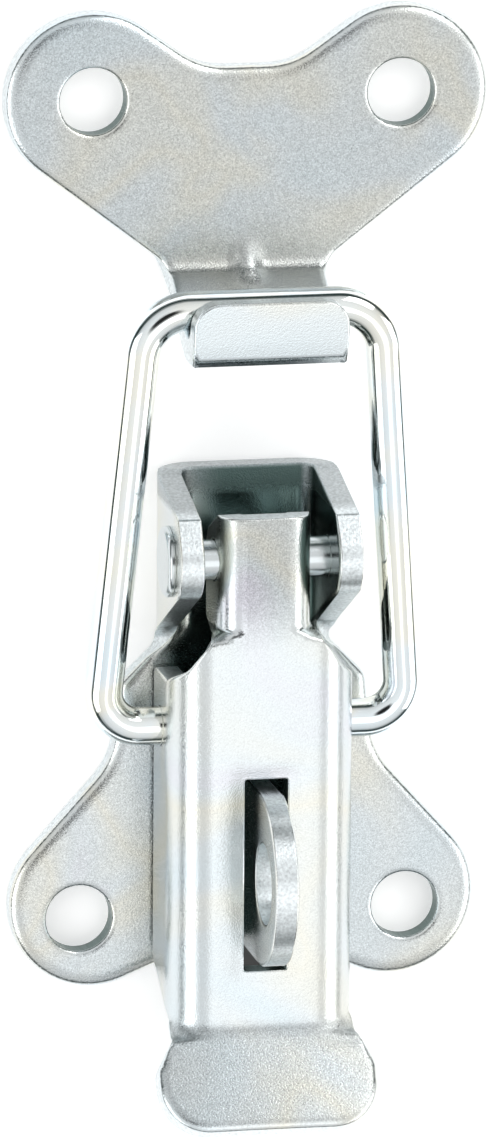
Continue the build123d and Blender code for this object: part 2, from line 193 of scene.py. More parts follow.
def mirrored(pieces):
    """Pieces of the right-hand side, followed by their mirror images across x = 0 in reverse order."""
    return pieces + [piece[::-1] * [-1, 1, -1, 1, 1] for piece in pieces[::-1]]


def joined(pieces, spacing=RIM_STEP):
    """Joins arcs into a chain. A straight run is divided evenly, its normal being its direction turned clockwise.

    Two arcs that touch share their point.
    """
    rows = []
    for piece, following in zip(pieces, pieces[1:]):
        start, end = piece[-1], following[0]
        reach = end[:2] - start[:2]
        length = np.hypot(*reach)
        count = int(np.ceil(length / spacing))
        rows.append(piece if length > TOUCHING else piece[:-1])
        if count > 1:
            run = start + (np.arange(1, count) / count)[:, None] * (end - start)
            run[:, 2:4] = np.array([reach[1], -reach[0]]) / length
            rows.append(run)
    return np.concatenate(rows + pieces[-1:])


def closed(pieces, spacing=RIM_STEP):
    """The same as a closed loop."""
    return joined(pieces + pieces[:1], spacing)[: -len(pieces[0])]


def rounded(points):
    """Closed loop of the arcs at every point of (x, y, radius, roll)."""
    return closed(corners(points[-1:] + points + points[:1]))


def hole(centre, radius, roll):
    """Round hole: a circle run clockwise."""
    return turned(centre, radius, 360, 0, roll)[:-1]


def wing(lobe, radius, flank_angle, valley_angle, waist_half, valley_y, way):
    """Points of a plate's right wing, whose waist lies towards +Y for way 1 and towards -Y for way -1.

    The flank leaves the lobe's circle at its angle and meets the waist at x = waist_half, and the valley's
    side leaves it at the other end and meets the valley at y = valley_y. Returns the lobe as a row, then the
    circle's end at the flank, the waist, the circle's end at the valley, and the valley.
    """
    slope, dip = radians(flank_angle), radians(valley_angle)
    lobe = np.array(lobe)
    flank = lobe + radius * np.array([sin(slope), way * cos(slope)])
    waist = (waist_half, flank[1] + way * (flank[0] - waist_half) * tan(slope))
    turn = lobe - radius * np.array([sin(dip), way * cos(dip)])
    return lobe, flank, waist, turn, (turn[0] - way * (valley_y - turn[1]) / tan(dip), valley_y)


# ---------------------------------------------------------------- blanks
def within(points, rings):
    """Even-odd rule: inside where a line towards +x crosses the rings an odd number of times."""
    inside = np.zeros(len(points), bool)
    px, py = points[:, 0:1], points[:, 1:2]
    for ring in rings:
        x, y = ring.T
        x_next, y_next = np.roll(ring, -1, 0).T
        steep = np.where(y_next == y, 1, y_next - y)
        crossing = ((y > py) != (y_next > py)) & (px < x + (py - y) * (x_next - x) / steep)
        inside ^= crossing.sum(1) % 2 == 1
    return inside


def filled(rings, spacing):
    """Flat region between rings: a square grid inside them, joined to them by Delaunay triangles."""
    border = np.concatenate(rings)
    low, high = border.min(0), border.max(0)
    across, along = (np.arange(low[i] + spacing / 2, high[i], spacing) for i in (0, 1))
    grid = np.stack(np.meshgrid(across, along), -1).reshape(-1, 2)
    grid = grid[within(grid, rings)]
    apart = np.hypot(*(grid[:, None] - border[None]).transpose(2, 0, 1)).min(1)
    grid = grid[apart > 0.5 * spacing]
    points = np.concatenate([border, grid])
    numbers = np.split(np.arange(len(border)), np.cumsum([len(ring) for ring in rings])[:-1])
    edges = np.concatenate([np.stack([ring, np.roll(ring, -1)], 1) for ring in numbers])
    placed, _, faces, *_ = delaunay_2d_cdt((points / MM).tolist(), edges.tolist(), [], 0, 1e-7)
    if len(placed) != len(points):
        raise RuntimeError("the rings of a blank touch or cross")
    faces = np.array(faces)
    return grid, faces[within(points[faces].mean(1), rings)]


def blank(loops, thickness, burr, spacing):
    """Punched blank: every loop carries the profile of a punched edge, and both faces are filled between loops.

    From the top face the profile is a quarter ellipse, as wide as the loop's roll and half as deep, then the
    straight wall of the cut, then a small quarter circle, the break on the burr side.
    """
    roll_angle, burr_angle = np.radians(np.linspace(0, 90, 7)), np.radians(np.linspace(0, 90, 3))
    inset_roll = np.concatenate([1 - np.sin(roll_angle), 0 * burr_angle])
    inset_burr = np.concatenate([0 * roll_angle, 1 - np.cos(burr_angle)]) * burr
    height_roll = np.concatenate([-0.5 * (1 - np.cos(roll_angle)), 0 * burr_angle])
    height = np.concatenate([0 * roll_angle + thickness, (1 - np.sin(burr_angle)) * burr])
    outward = np.concatenate([0.5 * np.sin(roll_angle), np.cos(burr_angle)])
    upward = np.concatenate([np.cos(roll_angle), -np.sin(burr_angle)])
    size = np.hypot(outward, upward)
    outward, upward = outward / size, upward / size
    wall = len(roll_angle) - 1  # the ring above the straight wall
    last = len(height) - 1

    points, normals, faces, sides, top, bottom, count = [], [], [], [], [], [], 0
    for loop in loops:
        around = len(loop)
        inset = np.outer(inset_roll, loop[:, 4]) + inset_burr[:, None]
        flat = loop[None, :, :2] - inset[..., None] * loop[None, :, 2:4]
        level = height[:, None] + np.outer(height_roll, loop[:, 4])
        points.append(np.dstack([flat, level]).reshape(-1, 3))
        side = outward[:, None, None] * loop[None, :, 2:4]
        normals.append(np.dstack([side, np.broadcast_to(upward[:, None], level.shape)]).reshape(-1, 3))
        ring, step = np.meshgrid(np.arange(last), np.arange(around), indexing="ij")
        here, below = count + ring * around + step, count + (ring + 1) * around + step
        here_next = count + ring * around + (step + 1) % around
        below_next = here_next + around
        for triangle in ((here, below, below_next), (here, below_next, here_next)):
            faces.append(np.dstack(triangle).reshape(-1, 3))
        sides += 2 * [(ring == wall).ravel()]
        top.append(np.arange(around) + count)
        bottom.append(np.arange(around) + count + last * around)
        count += around * (last + 1)
    banded = np.concatenate(points)
    for rings, way, level in ((top, 1, thickness), (bottom, -1, 0.0)):
        grid, triangles = filled([banded[ring, :2] for ring in rings], spacing)
        numbers = np.concatenate(rings + [np.arange(len(grid)) + count])
        points.append(np.column_stack([grid, np.full(len(grid), level)]))
        normals.append(np.tile([0.0, 0.0, way], (len(grid), 1)))
        faces.append(numbers[triangles][:, ::way])
        sides.append(np.zeros(len(triangles), bool))
        count += len(grid)
    return np.concatenate(points), np.concatenate(normals), np.concatenate(faces), np.concatenate(sides)


# ---------------------------------------------------------------- folding
def eased(value, low, high):
    """0 below low and 1 above high, with 3 t^2 - 2 t^3 between."""
    t = np.clip((value - low) / (high - low), 0, 1)
    return t * t * (3 - 2 * t)


def across_fold(u, depth, flat, radius, share):
    """Half section of a channel: flat to |u| = flat, then bent round the radius, then straight.

    In the bend the angle is share * (|u| - flat) / radius, so share 1 is a full right angle and share 0 leaves
    the sheet flat. depth is measured in from the outer face. Returns x, and how far the point is from the
    plane of the outer face.
    """
    reach, quarter = np.abs(u), radius * pi / 2
    bent = np.clip(reach - flat, 0, quarter)
    beyond = np.clip(reach - flat - quarter, 0, None)
    angle = share * bent / radius
    out = np.minimum(reach, flat) + bent * np.sinc(angle / pi) + beyond * np.cos(angle) - depth * np.sin(angle)
    away = bent * np.sin(angle / 2) * np.sinc(angle / 2 / pi) + beyond * np.sin(angle) + depth * np.cos(angle)
    return np.sign(u) * out, away


def along_fold(v, bends, anchor, level):
    """Side path of a sheet: at v its slope has turned by each bend's own turn times the share of it passed.

    bends are (start, length, turn), turn being what the slope loses from the bend's far end down to its start.
    The path is the running sum of (cos slope, sin slope), and passes through (anchor, level) at v = anchor.
    """
    step, margin = 0.01 * MM, 0.1 * MM
    fine = np.arange(v.min() - margin, max(v.max(), anchor) + margin, step)
    slope = sum(turn * (1 - np.clip((fine - start) / length, 0, 1)) for start, length, turn in bends)
    y, z = np.cumsum(np.cos(slope)) * step, np.cumsum(np.sin(slope)) * step
    y += anchor - np.interp(anchor, fine, y)
    z += level - np.interp(anchor, fine, z)
    return np.interp(v, fine, y), np.interp(v, fine, z), np.interp(v, fine, slope)


def formed(points, normals, shape):
    """Carries a blank by its shape function.

    The normal goes with it: n_u (S_v x S_w) + n_v (S_w x S_u) + n_w (S_u x S_v), the S being the function's
    central differences.
    """
    step = 0.002 * MM
    s_u, s_v, s_w = ((shape(points + step * axis) - shape(points - step * axis)) / (2 * step) for axis in np.eye(3))
    n_u, n_v, n_w = normals.T[..., None]
    carried = n_u * np.cross(s_v, s_w) + n_v * np.cross(s_w, s_u) + n_w * np.cross(s_u, s_v)
    return shape(points), carried / np.linalg.norm(carried, axis=1, keepdims=True)


def bored(points, x, y, radius):
    """1 on the wall of a round hole of the blank and of its mirror image, and 0 elsewhere."""
    away = np.hypot(np.abs(points[:, 0]) - x, points[:, 1] - y)
    return (away < radius + WALL_REACH).astype(float)


def wear_and_painted_shade(normals, share, inside=0.0, bores=0.0):
    """Burnished parts of a blank, and the painted shade laid on it, as attributes of its points.

    Burnished is the greater of share and 1 - n_w^24, n_w being the normal's part across the sheet, so the edge
    roll is always bright. Painted shade in folds and holes is the greater of inside * n_w^8, which spares the edges,
    and bores.
    """
    across = normals[:, 2]
    return {"burnished": np.maximum(share, 1 - across**24), "painted_shade": np.maximum(inside * across**8, bores)}


def arc_reach(drop, flat, radius):
    """Flat distance from the middle to where the folded outer face has left its plane by drop."""
    inside = radius * np.arccos(np.clip(1 - drop / radius, 0, 1))
    return flat + inside + np.clip(drop - radius, 0, None)


# ---------------------------------------------------------------- meshes
def made(name, points, normals, faces, materials, body, node, slot, sides=None, worn_and_shaded=None):
    """Puts arrays into a mesh with smooth custom normals, parents the piece to its body's empty and hides the
    imported part.
    """
    mesh = bpy.data.meshes.new(name)
    mesh.vertices.add(len(points))
    mesh.vertices.foreach_set("co", points.astype(np.float32).ravel())
    mesh.loops.add(faces.size)
    mesh.loops.foreach_set("vertex_index", faces.astype(np.int32).ravel())
    mesh.polygons.add(len(faces))
    mesh.polygons.foreach_set("loop_start", np.arange(0, faces.size, 3, dtype=np.int32))
    if sides is not None:
        mesh.polygons.foreach_set("material_index", (sides * SIDE_FACE).astype(np.int32))
    mesh.update(calc_edges=True)
    if mesh.validate():
        raise RuntimeError(f"the mesh of {name} had faults")
    mesh.shade_smooth()
    mesh.normals_split_custom_set_from_vertices(normals.tolist())
    for key, values in (worn_and_shaded or {}).items():
        mesh.attributes.new(key, "FLOAT", "POINT").data.foreach_set("value", values.astype(np.float32))
    for material in materials:
        mesh.materials.append(material)
    piece = bpy.data.objects.new(name, mesh)
    bpy.context.scene.collection.objects.link(piece)
    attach(piece, body)
    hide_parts(node)
    return piece


def swept(stations, directions, side, radii, lean, around):
    """Skin round a path: station + radius * (cos a * side + sin a * direction x side), closed by a point at each end.

    The normal is that ring direction times sqrt(1 - lean^2), plus lean times the path's direction.
    """
    angle = np.linspace(0, 2 * pi, around, endpoint=False)
    other = np.cross(directions, side)
    ring = np.cos(angle)[None, :, None] * side + np.sin(angle)[None, :, None] * other[:, None]
    points = (stations[:, None] + radii[:, None, None] * ring).reshape(-1, 3)
    flat = np.sqrt(np.clip(1 - lean**2, 0, 1))
    normals = (flat[:, None, None] * ring + (lean[:, None] * directions)[:, None]).reshape(-1, 3)
    i, j = np.meshgrid(np.arange(len(stations) - 1), np.arange(around), indexing="ij")
    here, here_next = i * around + j, i * around + (j + 1) % around
    first, last, step = len(points), len(points) + 1, np.arange(around)
    end_ring = (len(stations) - 1) * around
    faces = np.concatenate([
        np.dstack([here, here_next, here_next + around]).reshape(-1, 3),
        np.dstack([here, here_next + around, here + around]).reshape(-1, 3),
        np.column_stack([np.full(around, first), (step + 1) % around, step]),
        np.column_stack([np.full(around, last), end_ring + step, end_ring + (step + 1) % around]),
    ])
    points = np.concatenate([points, stations[[0, -1]]])
    normals = np.concatenate([normals, -directions[:1], directions[-1:]])
    return points, normals, faces


# ---------------------------------------------------------------- materials
def add(tree, kind, inputs=None, stops=(), **settings):
    """Adds a shader node of a kind.

    settings are its own attributes, inputs are values or sockets for its inputs by name or number, and stops
    are the positions and colours of a colour ramp.
    """
    node = tree.nodes.new("ShaderNode" + kind)
    for name, value in settings.items():
        setattr(node, name, value)
    for name, value in (inputs or {}).items():
        if isinstance(value, bpy.types.NodeSocket):
            tree.links.new(value, node.inputs[name])
        else:
            node.inputs[name].default_value = value
    if stops:
        elements = node.color_ramp.elements
        while len(elements) < len(stops):
            elements.new(0.5)
        for element, (position, colour) in zip(elements, stops):
            element.position, element.color = position, (*colour, 1.0)
    return node


def emptied(name):
    """A material with an empty node tree."""
    material = bpy.data.materials.new(name)
    material.use_nodes = True
    material.node_tree.nodes.clear()
    return material, material.node_tree


def clouded(tree, place, size, stops):
    """Colour that drifts over the surface: a noise of the given size in metres, read through colour stops."""
    inputs = {"Vector": place, "Scale": 1 / size, "Detail": 2.0, "Roughness": 0.5, "Distortion": 0.6}
    cloud = add(tree, "TexNoise", inputs)
    return add(tree, "ValToRGB", {"Fac": cloud.outputs["Fac"]}, stops).outputs["Color"]


def spread(tree, value, low, high, start=0.0, end=1.0):
    """A value that runs evenly from low to high while the given one runs from start to end."""
    inputs = {"Value": value, "From Min": start, "From Max": end, "To Min": low, "To Max": high}
    return add(tree, "MapRange", inputs).outputs["Result"]


def plated(tree, finish, tint, rubbed, dull, bright, speckle):
    """Colour of the plating: the tint times the speckle, times a shine from dull to bright where it is rubbed.

    Where the painted shade attribute is set, the dark painted shade colour takes its place: shade painted into
    channels, folds, slots and holes.
    """
    shine = spread(tree, rubbed, dull, bright)
    lit = add(tree, "Math", {0: shine, 1: speckle}, operation="MULTIPLY").outputs["Value"]
    face = add(tree, "VectorMath", {0: tint, "Scale": lit}, operation="SCALE").outputs["Vector"]
    # how much painted shade lies on each point
    shaded_share = add(tree, "Attribute", attribute_name="painted_shade").outputs["Fac"]
    return add(tree, "Mix", {0: shaded_share, 6: face, 7: (*finish.painted_shade, 1.0)}, data_type="RGBA").outputs[2]


def metal_surface(tree, colour, roughness, bump):
    """Ends a tree as bare metal, with the default IOR."""
    inputs = {"Base Color": colour, "Metallic": 1.0, "Roughness": roughness, "Normal": bump.outputs["Normal"]}
    surface = add(tree, "BsdfPrincipled", inputs)
    add(tree, "OutputMaterial", {"Surface": surface.outputs["BSDF"]})


def zinc_plated_strip(finish):
    """Cold rolled strip, tumbled after pressing and plated with bright zinc under a clear passivation.

    The eye sees a satin grey metal with a fine orange peel, burnished bright where tools, hands and the bail
    rub it, with faint straw, blue and lilac clouds where the film's thickness drifts.
    """
    material, tree = emptied("bright zinc plated strip")
    place = add(tree, "TexCoord").outputs["Object"]
    rubbed = add(tree, "Attribute", attribute_name="burnished").outputs["Fac"]
    tints = (finish.blue, finish.plate, finish.straw, finish.plate, finish.lilac)
    film = clouded(tree, place, 20 * MM, list(zip((0.30, 0.44, 0.56, 0.66, 0.76), tints)))
    # bright and dull crystals of the plate, drawn at 0.16 mm so that they show, and rubbed away
    crystal = add(tree, "TexNoise", {"Vector": place, "Scale": 1 / (0.16 * MM), "Detail": 1.0})
    glint = spread(tree, crystal.outputs["Fac"], 0.74, 1.26, 0.3, 0.7)
    speckle = add(tree, "Mix", {0: rubbed, 2: glint, 3: 1.0}).outputs[0]
    colour = plated(tree, finish, film, rubbed, 0.72, 1.06, speckle)
    # the peel's grains are about 0.05 mm on the real plate, drawn at 0.17 mm so that they show
    grain = {"Vector": place, "Scale": 1 / (0.17 * MM), "Detail": 2.0, "Roughness": 0.6}
    peel = add(tree, "TexNoise", grain).outputs["Fac"]
    satin = {0: spread(tree, rubbed, 0.34, 0.15), 1: spread(tree, peel, -0.06, 0.06, 0.3, 0.7)}
    roughness = add(tree, "Math", satin, operation="ADD").outputs["Value"]
    # waves of 5 mm left by the press, and the peel on them
    waves = add(tree, "TexNoise", {"Vector": place, "Scale": 1 / (5 * MM), "Detail": 1.0})
    pressed = {"Height": waves.outputs["Fac"], "Strength": 0.35, "Distance": 0.06 * MM}
    under = add(tree, "Bump", pressed).outputs["Normal"]
    peeled = {"Height": peel, "Strength": spread(tree, rubbed, 1.0, 0.35), "Distance": 0.06 * MM, "Normal": under}
    metal_surface(tree, colour, roughness, add(tree, "Bump", peeled))
    return material


def sheared_zinc_edge(finish):
    """Wall of a punched edge: burnished by the die near the roll and torn below, then plated over.

    The eye sees fine streaks across the thickness, duller than the faces.
    """
    material, tree = emptied("sheared zinc edge")
    place = add(tree, "TexCoord").outputs["Object"]
    rubbed = add(tree, "Attribute", attribute_name="burnished").outputs["Fac"]
    # streaks 0.2 mm wide that run the whole thickness of the sheet, along Z on the flat plates
    streaks = {"Vector": place, "Scale": (1 / (0.2 * MM), 1 / (0.2 * MM), 1 / (3 * MM))}
    along = add(tree, "Mapping", streaks).outputs["Vector"]
    torn = add(tree, "TexNoise", {"Vector": along, "Scale": 1.0, "Detail": 3.0}).outputs["Fac"]
    pits = add(tree, "TexNoise", {"Vector": place, "Scale": 1 / (0.3 * MM), "Detail": 2.0})
    pitted = spread(tree, pits.outputs["Fac"], 0.8, 1.2, 0.3, 0.7)
    colour = plated(tree, finish, finish.plate, rubbed, 0.68, 1.15, pitted)
    bump = add(tree, "Bump", {"Height": torn, "Strength": 0.6, "Distance": 0.04 * MM})
    metal_surface(tree, colour, spread(tree, torn, 0.2, 0.45), bump)
    return material


def zinc_plated_wire(finish):
    """Hard drawn steel wire, bright zinc plated.

    The eye sees a glossy rod with long dark and light reflections and faint lines left by the drawing die.
    """
    material, tree = emptied("bright zinc plated wire")
    place = add(tree, "TexCoord").outputs["Object"]
    drawn = add(tree, "Attribute", attribute_name="drawn").outputs["Vector"]
    # die lines 0.15 mm apart round the wire and many diameters long
    lines = {"Vector": drawn, "Scale": (1 / (0.15 * MM), 1 / (0.15 * MM), 1 / (25 * MM))}
    along = add(tree, "Mapping", lines).outputs["Vector"]
    line = add(tree, "TexNoise", {"Vector": along, "Scale": 1.0, "Detail": 2.0}).outputs["Fac"]
    film = clouded(tree, place, 9 * MM, [(0.35, finish.blue), (0.48, finish.plate), (0.60, finish.straw)])
    bright = add(tree, "VectorMath", {0: film, "Scale": 1.25}, operation="SCALE").outputs["Vector"]
    bump = add(tree, "Bump", {"Height": line, "Strength": 0.5, "Distance": 0.014 * MM})
    metal_surface(tree, bright, spread(tree, line, 0.04, 0.14), bump)
    return material


def zinc_plated_rivet(finish):
    """Cold headed rivet, plated before it was set.

    The eye sees a smooth head with faint rings from the heading tool.
    """
    material, tree = emptied("bright zinc plated rivet")
    _, y, z = joint_at["lever_pivot"]
    place = add(tree, "TexCoord").outputs["Object"]
    centred = add(tree, "Mapping", {"Vector": place, "Location": (0, -y, -z), "Scale": (0, 1, 1)})
    radius = add(tree, "VectorMath", {0: centred.outputs["Vector"]}, operation="LENGTH")
    # rings 0.35 mm apart
    turns = {0: radius.outputs["Value"], 1: 2 * pi / (0.35 * MM)}
    turns = add(tree, "Math", turns, operation="MULTIPLY").outputs["Value"]
    rings = add(tree, "Math", {0: turns}, operation="SINE").outputs["Value"]
    bump = add(tree, "Bump", {"Height": rings, "Strength": 0.3, "Distance": 0.008 * MM})
    metal_surface(tree, (*finish.plate, 1.0), 0.2, bump)
    return material


def studio_paper(finish):
    """Matt white background paper: no shine, hardly any grain."""
    material, tree = emptied("white studio paper")
    place = add(tree, "TexCoord").outputs["Object"]
    pulp = add(tree, "TexNoise", {"Vector": place, "Scale": 1 / (2 * MM), "Detail": 3.0}).outputs["Fac"]
    bump = add(tree, "Bump", {"Height": pulp, "Strength": 0.1, "Distance": 0.01 * MM})
    # the paper glows like a lit table, except for an oval in the handle's shade, whose middle and half axes are
    (x, y), (a, b) = (2.2 * MM, -4.6 * MM), (5.0 * MM, 3.6 * MM)
    oval = {"Vector": place, "Location": (-x / a, -y / b, 0), "Scale": (1 / a, 1 / b, 0)}
    spot = add(tree, "Mapping", oval).outputs["Vector"]
    reach = add(tree, "VectorMath", {0: spot}, operation="LENGTH").outputs["Value"]
    shade = {"Value": reach, "From Min": 0.75, "From Max": 1.15, "To Min": 0.08}
    lit = add(tree, "MapRange", shade, interpolation_type="SMOOTHSTEP").outputs["Result"]
    white = add(tree, "VectorMath", {0: finish.floor, "Scale": lit}, operation="SCALE").outputs["Vector"]
    matt = {"Base Color": white, "Roughness": 0.95, "Specular IOR Level": 0.0, "Normal": bump.outputs["Normal"]}
    glow = {"Emission Color": white, "Emission Strength": 0.40}
    surface = add(tree, "BsdfPrincipled", matt | glow)
    add(tree, "OutputMaterial", {"Surface": surface.outputs["BSDF"]})
    return material


makers = {
    "bright zinc plated strip": zinc_plated_strip,
    "sheared zinc edge": sheared_zinc_edge,
    "bright zinc plated wire": zinc_plated_wire,
    "bright zinc plated rivet": zinc_plated_rivet,
}


def finished(context, *names):
    """Materials of the latch, each made once and found again by name."""
    return [bpy.data.materials.get(name) or makers[name](context.scene.latch_finish) for name in names]


def pressed(context, name, cut, worn_and_shaded, shape, body, node):
    """Folds a cut blank by its shape function and makes it a piece in the strip's and the sheared edge's finish."""
    points, normals, faces, sides = cut
    points, normals = formed(points, normals, shape)
    looks = finished(context, "bright zinc plated strip", "sheared zinc edge")
    return made(name, points, normals, faces, looks, body, node, "zinc_sheet", sides, worn_and_shaded)


# ---------------------------------------------------------------- pieces
class LATCH_OT_catch_plate(bpy.types.Operator):
    """Press the catch plate: two lobes, a ramp with its rib, and the tab folded back as a hook"""

    bl_idname = "latch.catch_plate"
    bl_label = "Catch plate"

    lobe = (15.7 * MM, 84.0 * MM)  # the right-hand one's middle
    lobe_radius = 8.9 * MM
    flank_angle = 37.0
    valley_angle = 35.0
    valley_rise = 3.1 * MM
    ramp_foot = 66.9 * MM
    tab_under = 13.3 * MM
    tab_end = 65.7 * MM
    tab_corner = 2.6 * MM
    tab_slope = 0.13
    rib_half_width = 2.1 * MM
    rib_half_length = 3.2 * MM
    rib_height = 0.75 * MM
    front_gap = 0.05 * MM  # how far the hook's squared front stands off its round bend
    lower_break = 0.3 * MM
    anchor_y = 80.0 * MM  # anywhere on the flat plate

    def execute(self, context):
        sheet, size = context.scene.latch_sheet, context.scene.latch_catch
        gauge, roll, small = sheet.thickness, sheet.roll, sheet.small_roll
        bore = context.scene.latch_base.screw_hole / 2
        angles = self.flank_angle, self.valley_angle
        lobe, flank, waist, turn, valley = wing(
            self.lobe, self.lobe_radius, *angles, size.neck_half, self.lobe[1] + self.valley_rise, -1
        )

        # side path of the front face: plate, ramp and the tab's underside
        reach = [size.ramp_bend * tan(size.ramp_angle / 2), size.tab_bend * tan((pi - size.ramp_angle) / 2)]
        length = [size.ramp_bend * size.ramp_angle, size.tab_bend * (pi - size.ramp_angle)]
        ramp = (self.tab_under - gauge) / sin(size.ramp_angle)
        start = [self.ramp_foot + reach[0] - length[0]]
        start.append(start[0] - (ramp - sum(reach)) - length[1])
        ramp_top = self.ramp_foot - (self.tab_under - gauge) / tan(size.ramp_angle)
        tab_end = start[1] - (self.tab_end - ramp_top - reach[1])
        bends = [(start[0], length[0], -size.ramp_angle), (start[1], length[1], size.ramp_angle - pi)]
        rib_middle = start[0] + length[0] / 2

        right = corners([
            (0, tab_end, 0, 0),
            (size.neck_half, tab_end, self.tab_corner, small),
            (*waist, 3.0 * MM, 0.9 * MM),
            (*flank, 0, 0),
        ])
        right.append(turned(lobe, self.lobe_radius, -90 + self.flank_angle, 90 + self.valley_angle, roll))
        right += corners([(*turn, 0, 0), (*valley, 8.0 * MM, roll), (0, valley[1], 0, 0)])
        loops = [closed(mirrored(right))]
        loops += [hole((side * lobe[0], lobe[1]), bore, HOLE_ROLL) for side in (-1, 1)]

        def squared(v, angle):
            """How far the outer skin of the hook leaves its round bend, which the press squares off.

            Its distance from the bend's centre is the 12-norm corner of two lines: the tab's, which falls by
            tab_slope from its free end, and the upright front's. On the ramp it is round again.
            """
            outer, turned_by = size.tab_bend + gauge, np.clip(pi + angle, 1e-3, pi)
            slope, tab = self.tab_slope, start[1] - tab_end
            fall = slope * np.clip(v - tab_end, 0, tab)
            top = (outer - slope * tab) / (np.cos(turned_by) + slope * np.sin(turned_by))
            front = (outer + self.front_gap) / np.sin(turned_by)
            corner = (np.where(top > 0, (MM / np.abs(top)) ** 12, 0) + (MM / front) ** 12) ** (-1 / 12) * MM
            ramped = eased(turned_by, radians(85), pi - size.ramp_angle)
            push = (corner - outer) * (1 - ramped)
            return np.where(turned_by > 0.01, push, -fall)

        def shape(points):
            """Side path, plus the rib: a height of cos^2 across and cos^2 along, where both angles are under 90."""
            u, v, w = points.T
            reaches = (u / self.rib_half_width, (v - rib_middle) / self.rib_half_length)
            wave = [np.cos(np.clip(t, -1, 1) * pi / 2) ** 2 for t in reaches]
            y, z, angle = along_fold(v, bends, self.anchor_y, gauge)
            depth = gauge - w - self.rib_height * wave[0] * wave[1]
            depth = depth + squared(v, angle) * (1 - w / gauge) ** 2
            return np.column_stack([u, y + depth * np.sin(angle), z - depth * np.cos(angle)])

        cut = points, normals, _, _ = blank(loops, gauge, self.lower_break, sheet.spacing)
        ramped, hook = (eased(-points[:, 1], -first - span, -first) for first, span in zip(start, length))
        share = 0.2 + 0.45 * ramped + 0.35 * hook  # the bail rubs ramp and hook bright
        # painted shade inside the hook's bend and on the walls of the screw holes
        worn_and_shaded = wear_and_painted_shade(normals, share, 0.6 * hook * (normals[:, 2] > 0), bored(points, *lobe, bore))
        pressed(context, "pressed_catch_plate", cut, worn_and_shaded, shape, "base", "catch_plate")
        return {"FINISHED"}


class LATCH_OT_base_plate(bpy.types.Operator):
    """Press the base plate: two wings, a waist, and the floor whose sides fold up as ears"""

    bl_idname = "latch.base_plate"
    bl_label = "Base plate"

    hole_spacing = 33.6 * MM
    lobe = (15.4 * MM, 1.3 * MM)
    lobe_radius = 8.5 * MM
    flank_angle = 48.0
    valley_angle = 25.0
    valley_y = -2.6 * MM
    shoulder = (12.6 * MM, 24.2 * MM)
    ear_foot = (8.5 * MM, 28.3 * MM)
    ear_crest = (37.4 * MM, 18.3 * MM)  # where the two edges of an ear would meet, Y and Z
    ear_tip = (43.6 * MM, 14.2 * MM)
    floor_end_y = 46.4 * MM
    tongue = (2.4 * MM, 9.0 * MM, 6.9 * MM)  # width, length and middle of the slot for the padlock eye
    pin_bore = 2.09 * MM

    def execute(self, context):
        sheet, size = context.scene.latch_sheet, context.scene.latch_base
        gauge, roll, small = sheet.thickness, sheet.roll, sheet.small_roll
        pivot = joint_at["lever_pivot"]
        radius = size.ear_bend + gauge  # of the outer face
        flat = size.ear_half - radius

        angles = self.flank_angle, self.valley_angle
        lobe, flank, waist, turn, valley = wing(
            self.lobe, self.lobe_radius, *angles, size.waist_half, self.valley_y, 1
        )
        heights = np.array([self.ear_crest[1], self.ear_tip[1], gauge, radius])
        crest, tip, floor_side, ear_side = arc_reach(heights, flat, radius)

        right = corners([(0, self.valley_y, 0, 0), (*valley, 8.0 * MM, small), (*turn, 0, 0)])
        right.append(turned(lobe, self.lobe_radius, -90 - self.valley_angle, 90 - self.flank_angle, roll))
        right += corners([
            (*flank, 0, 0),
            (*waist, 8.0 * MM, roll),
            (*self.shoulder, 1.8 * MM, roll),
            (*self.ear_foot, 1.2 * MM, 0.8 * MM),
            (ear_side, 30.4 * MM, 4.0 * MM, 0.8 * MM),
            (crest, self.ear_crest[0], 4.0 * MM, 0.6 * MM),
            (tip, self.ear_tip[0], 0.5 * MM, small),
            (floor_side, self.floor_end_y, 0.8 * MM, small),
            (0, self.floor_end_y, 0, 0),
        ])
        width, length, middle = self.tongue
        turns = ((1, -1), (-1, -1), (-1, 1), (1, 1))  # clockwise, as for a hole
        slot = [(x * width / 2, middle + y * length / 2, 0.3 * MM, small / 2) for x, y in turns]
        loops = [closed(mirrored(right)), rounded(slot)]
        for side in (-1, 1):
            loops.append(hole((side * self.hole_spacing / 2, 0), size.screw_hole / 2, HOLE_ROLL))
            loops.append(hole((side * (ear_side + pivot[2] - radius), pivot[1]), self.pin_bore, small / 2))

        def shape(points):
            """Channel section folded upwards, which comes out of the flat plate over 3 mm."""
            u, v, w = points.T
            share = eased(v, 26.8 * MM, 30.2 * MM)
            x, z = across_fold(u, w, flat, radius, share)
            return np.column_stack([x, v, z])

        cut = points, normals, _, _ = blank(loops, gauge, sheet.burr, sheet.spacing)
        across, along = np.abs(points[:, 0]), points[:, 1]
        upper = normals[:, 2] > 0
        channel = eased(along, 27 * MM, 31 * MM)
        bend = radius * pi / 4  # half the length of the bend at the ears' foot, whose middle gets less painted shade
        bent = np.abs(across - flat - bend) / bend
        # painted shade inside the channel, on its upper face, less at the middle of the bends
        inner = channel * upper * (1 - 0.7 * (1 - eased(bent, 0.2, 0.7)))
        lit = eased(points[:, 0], -8 * MM, -2 * MM)  # the painted shade is lighter on the left side of the channel
        covered = (1 - eased(across, 7 * MM, 9 * MM)) * (1 - channel) * upper  # painted shade on the plate where the lever covers it
        # painted shade on the walls of the screw holes
        screws = bored(points, self.hole_spacing / 2, 0, size.screw_hole / 2)
        worn_and_shaded = wear_and_painted_shade(normals, 0.5 + 0.5 * channel, inner * (0.3 + 0.7 * lit) + covered, screws)
        worn_and_shaded["burnished"] *= 1 - eased(along, 43.7 * MM, 44.2 * MM)  # the channel's end is left as sheared
        pressed(context, "pressed_base_plate", cut, worn_and_shaded, shape, "base", "base_plate")
        return {"FINISHED"}


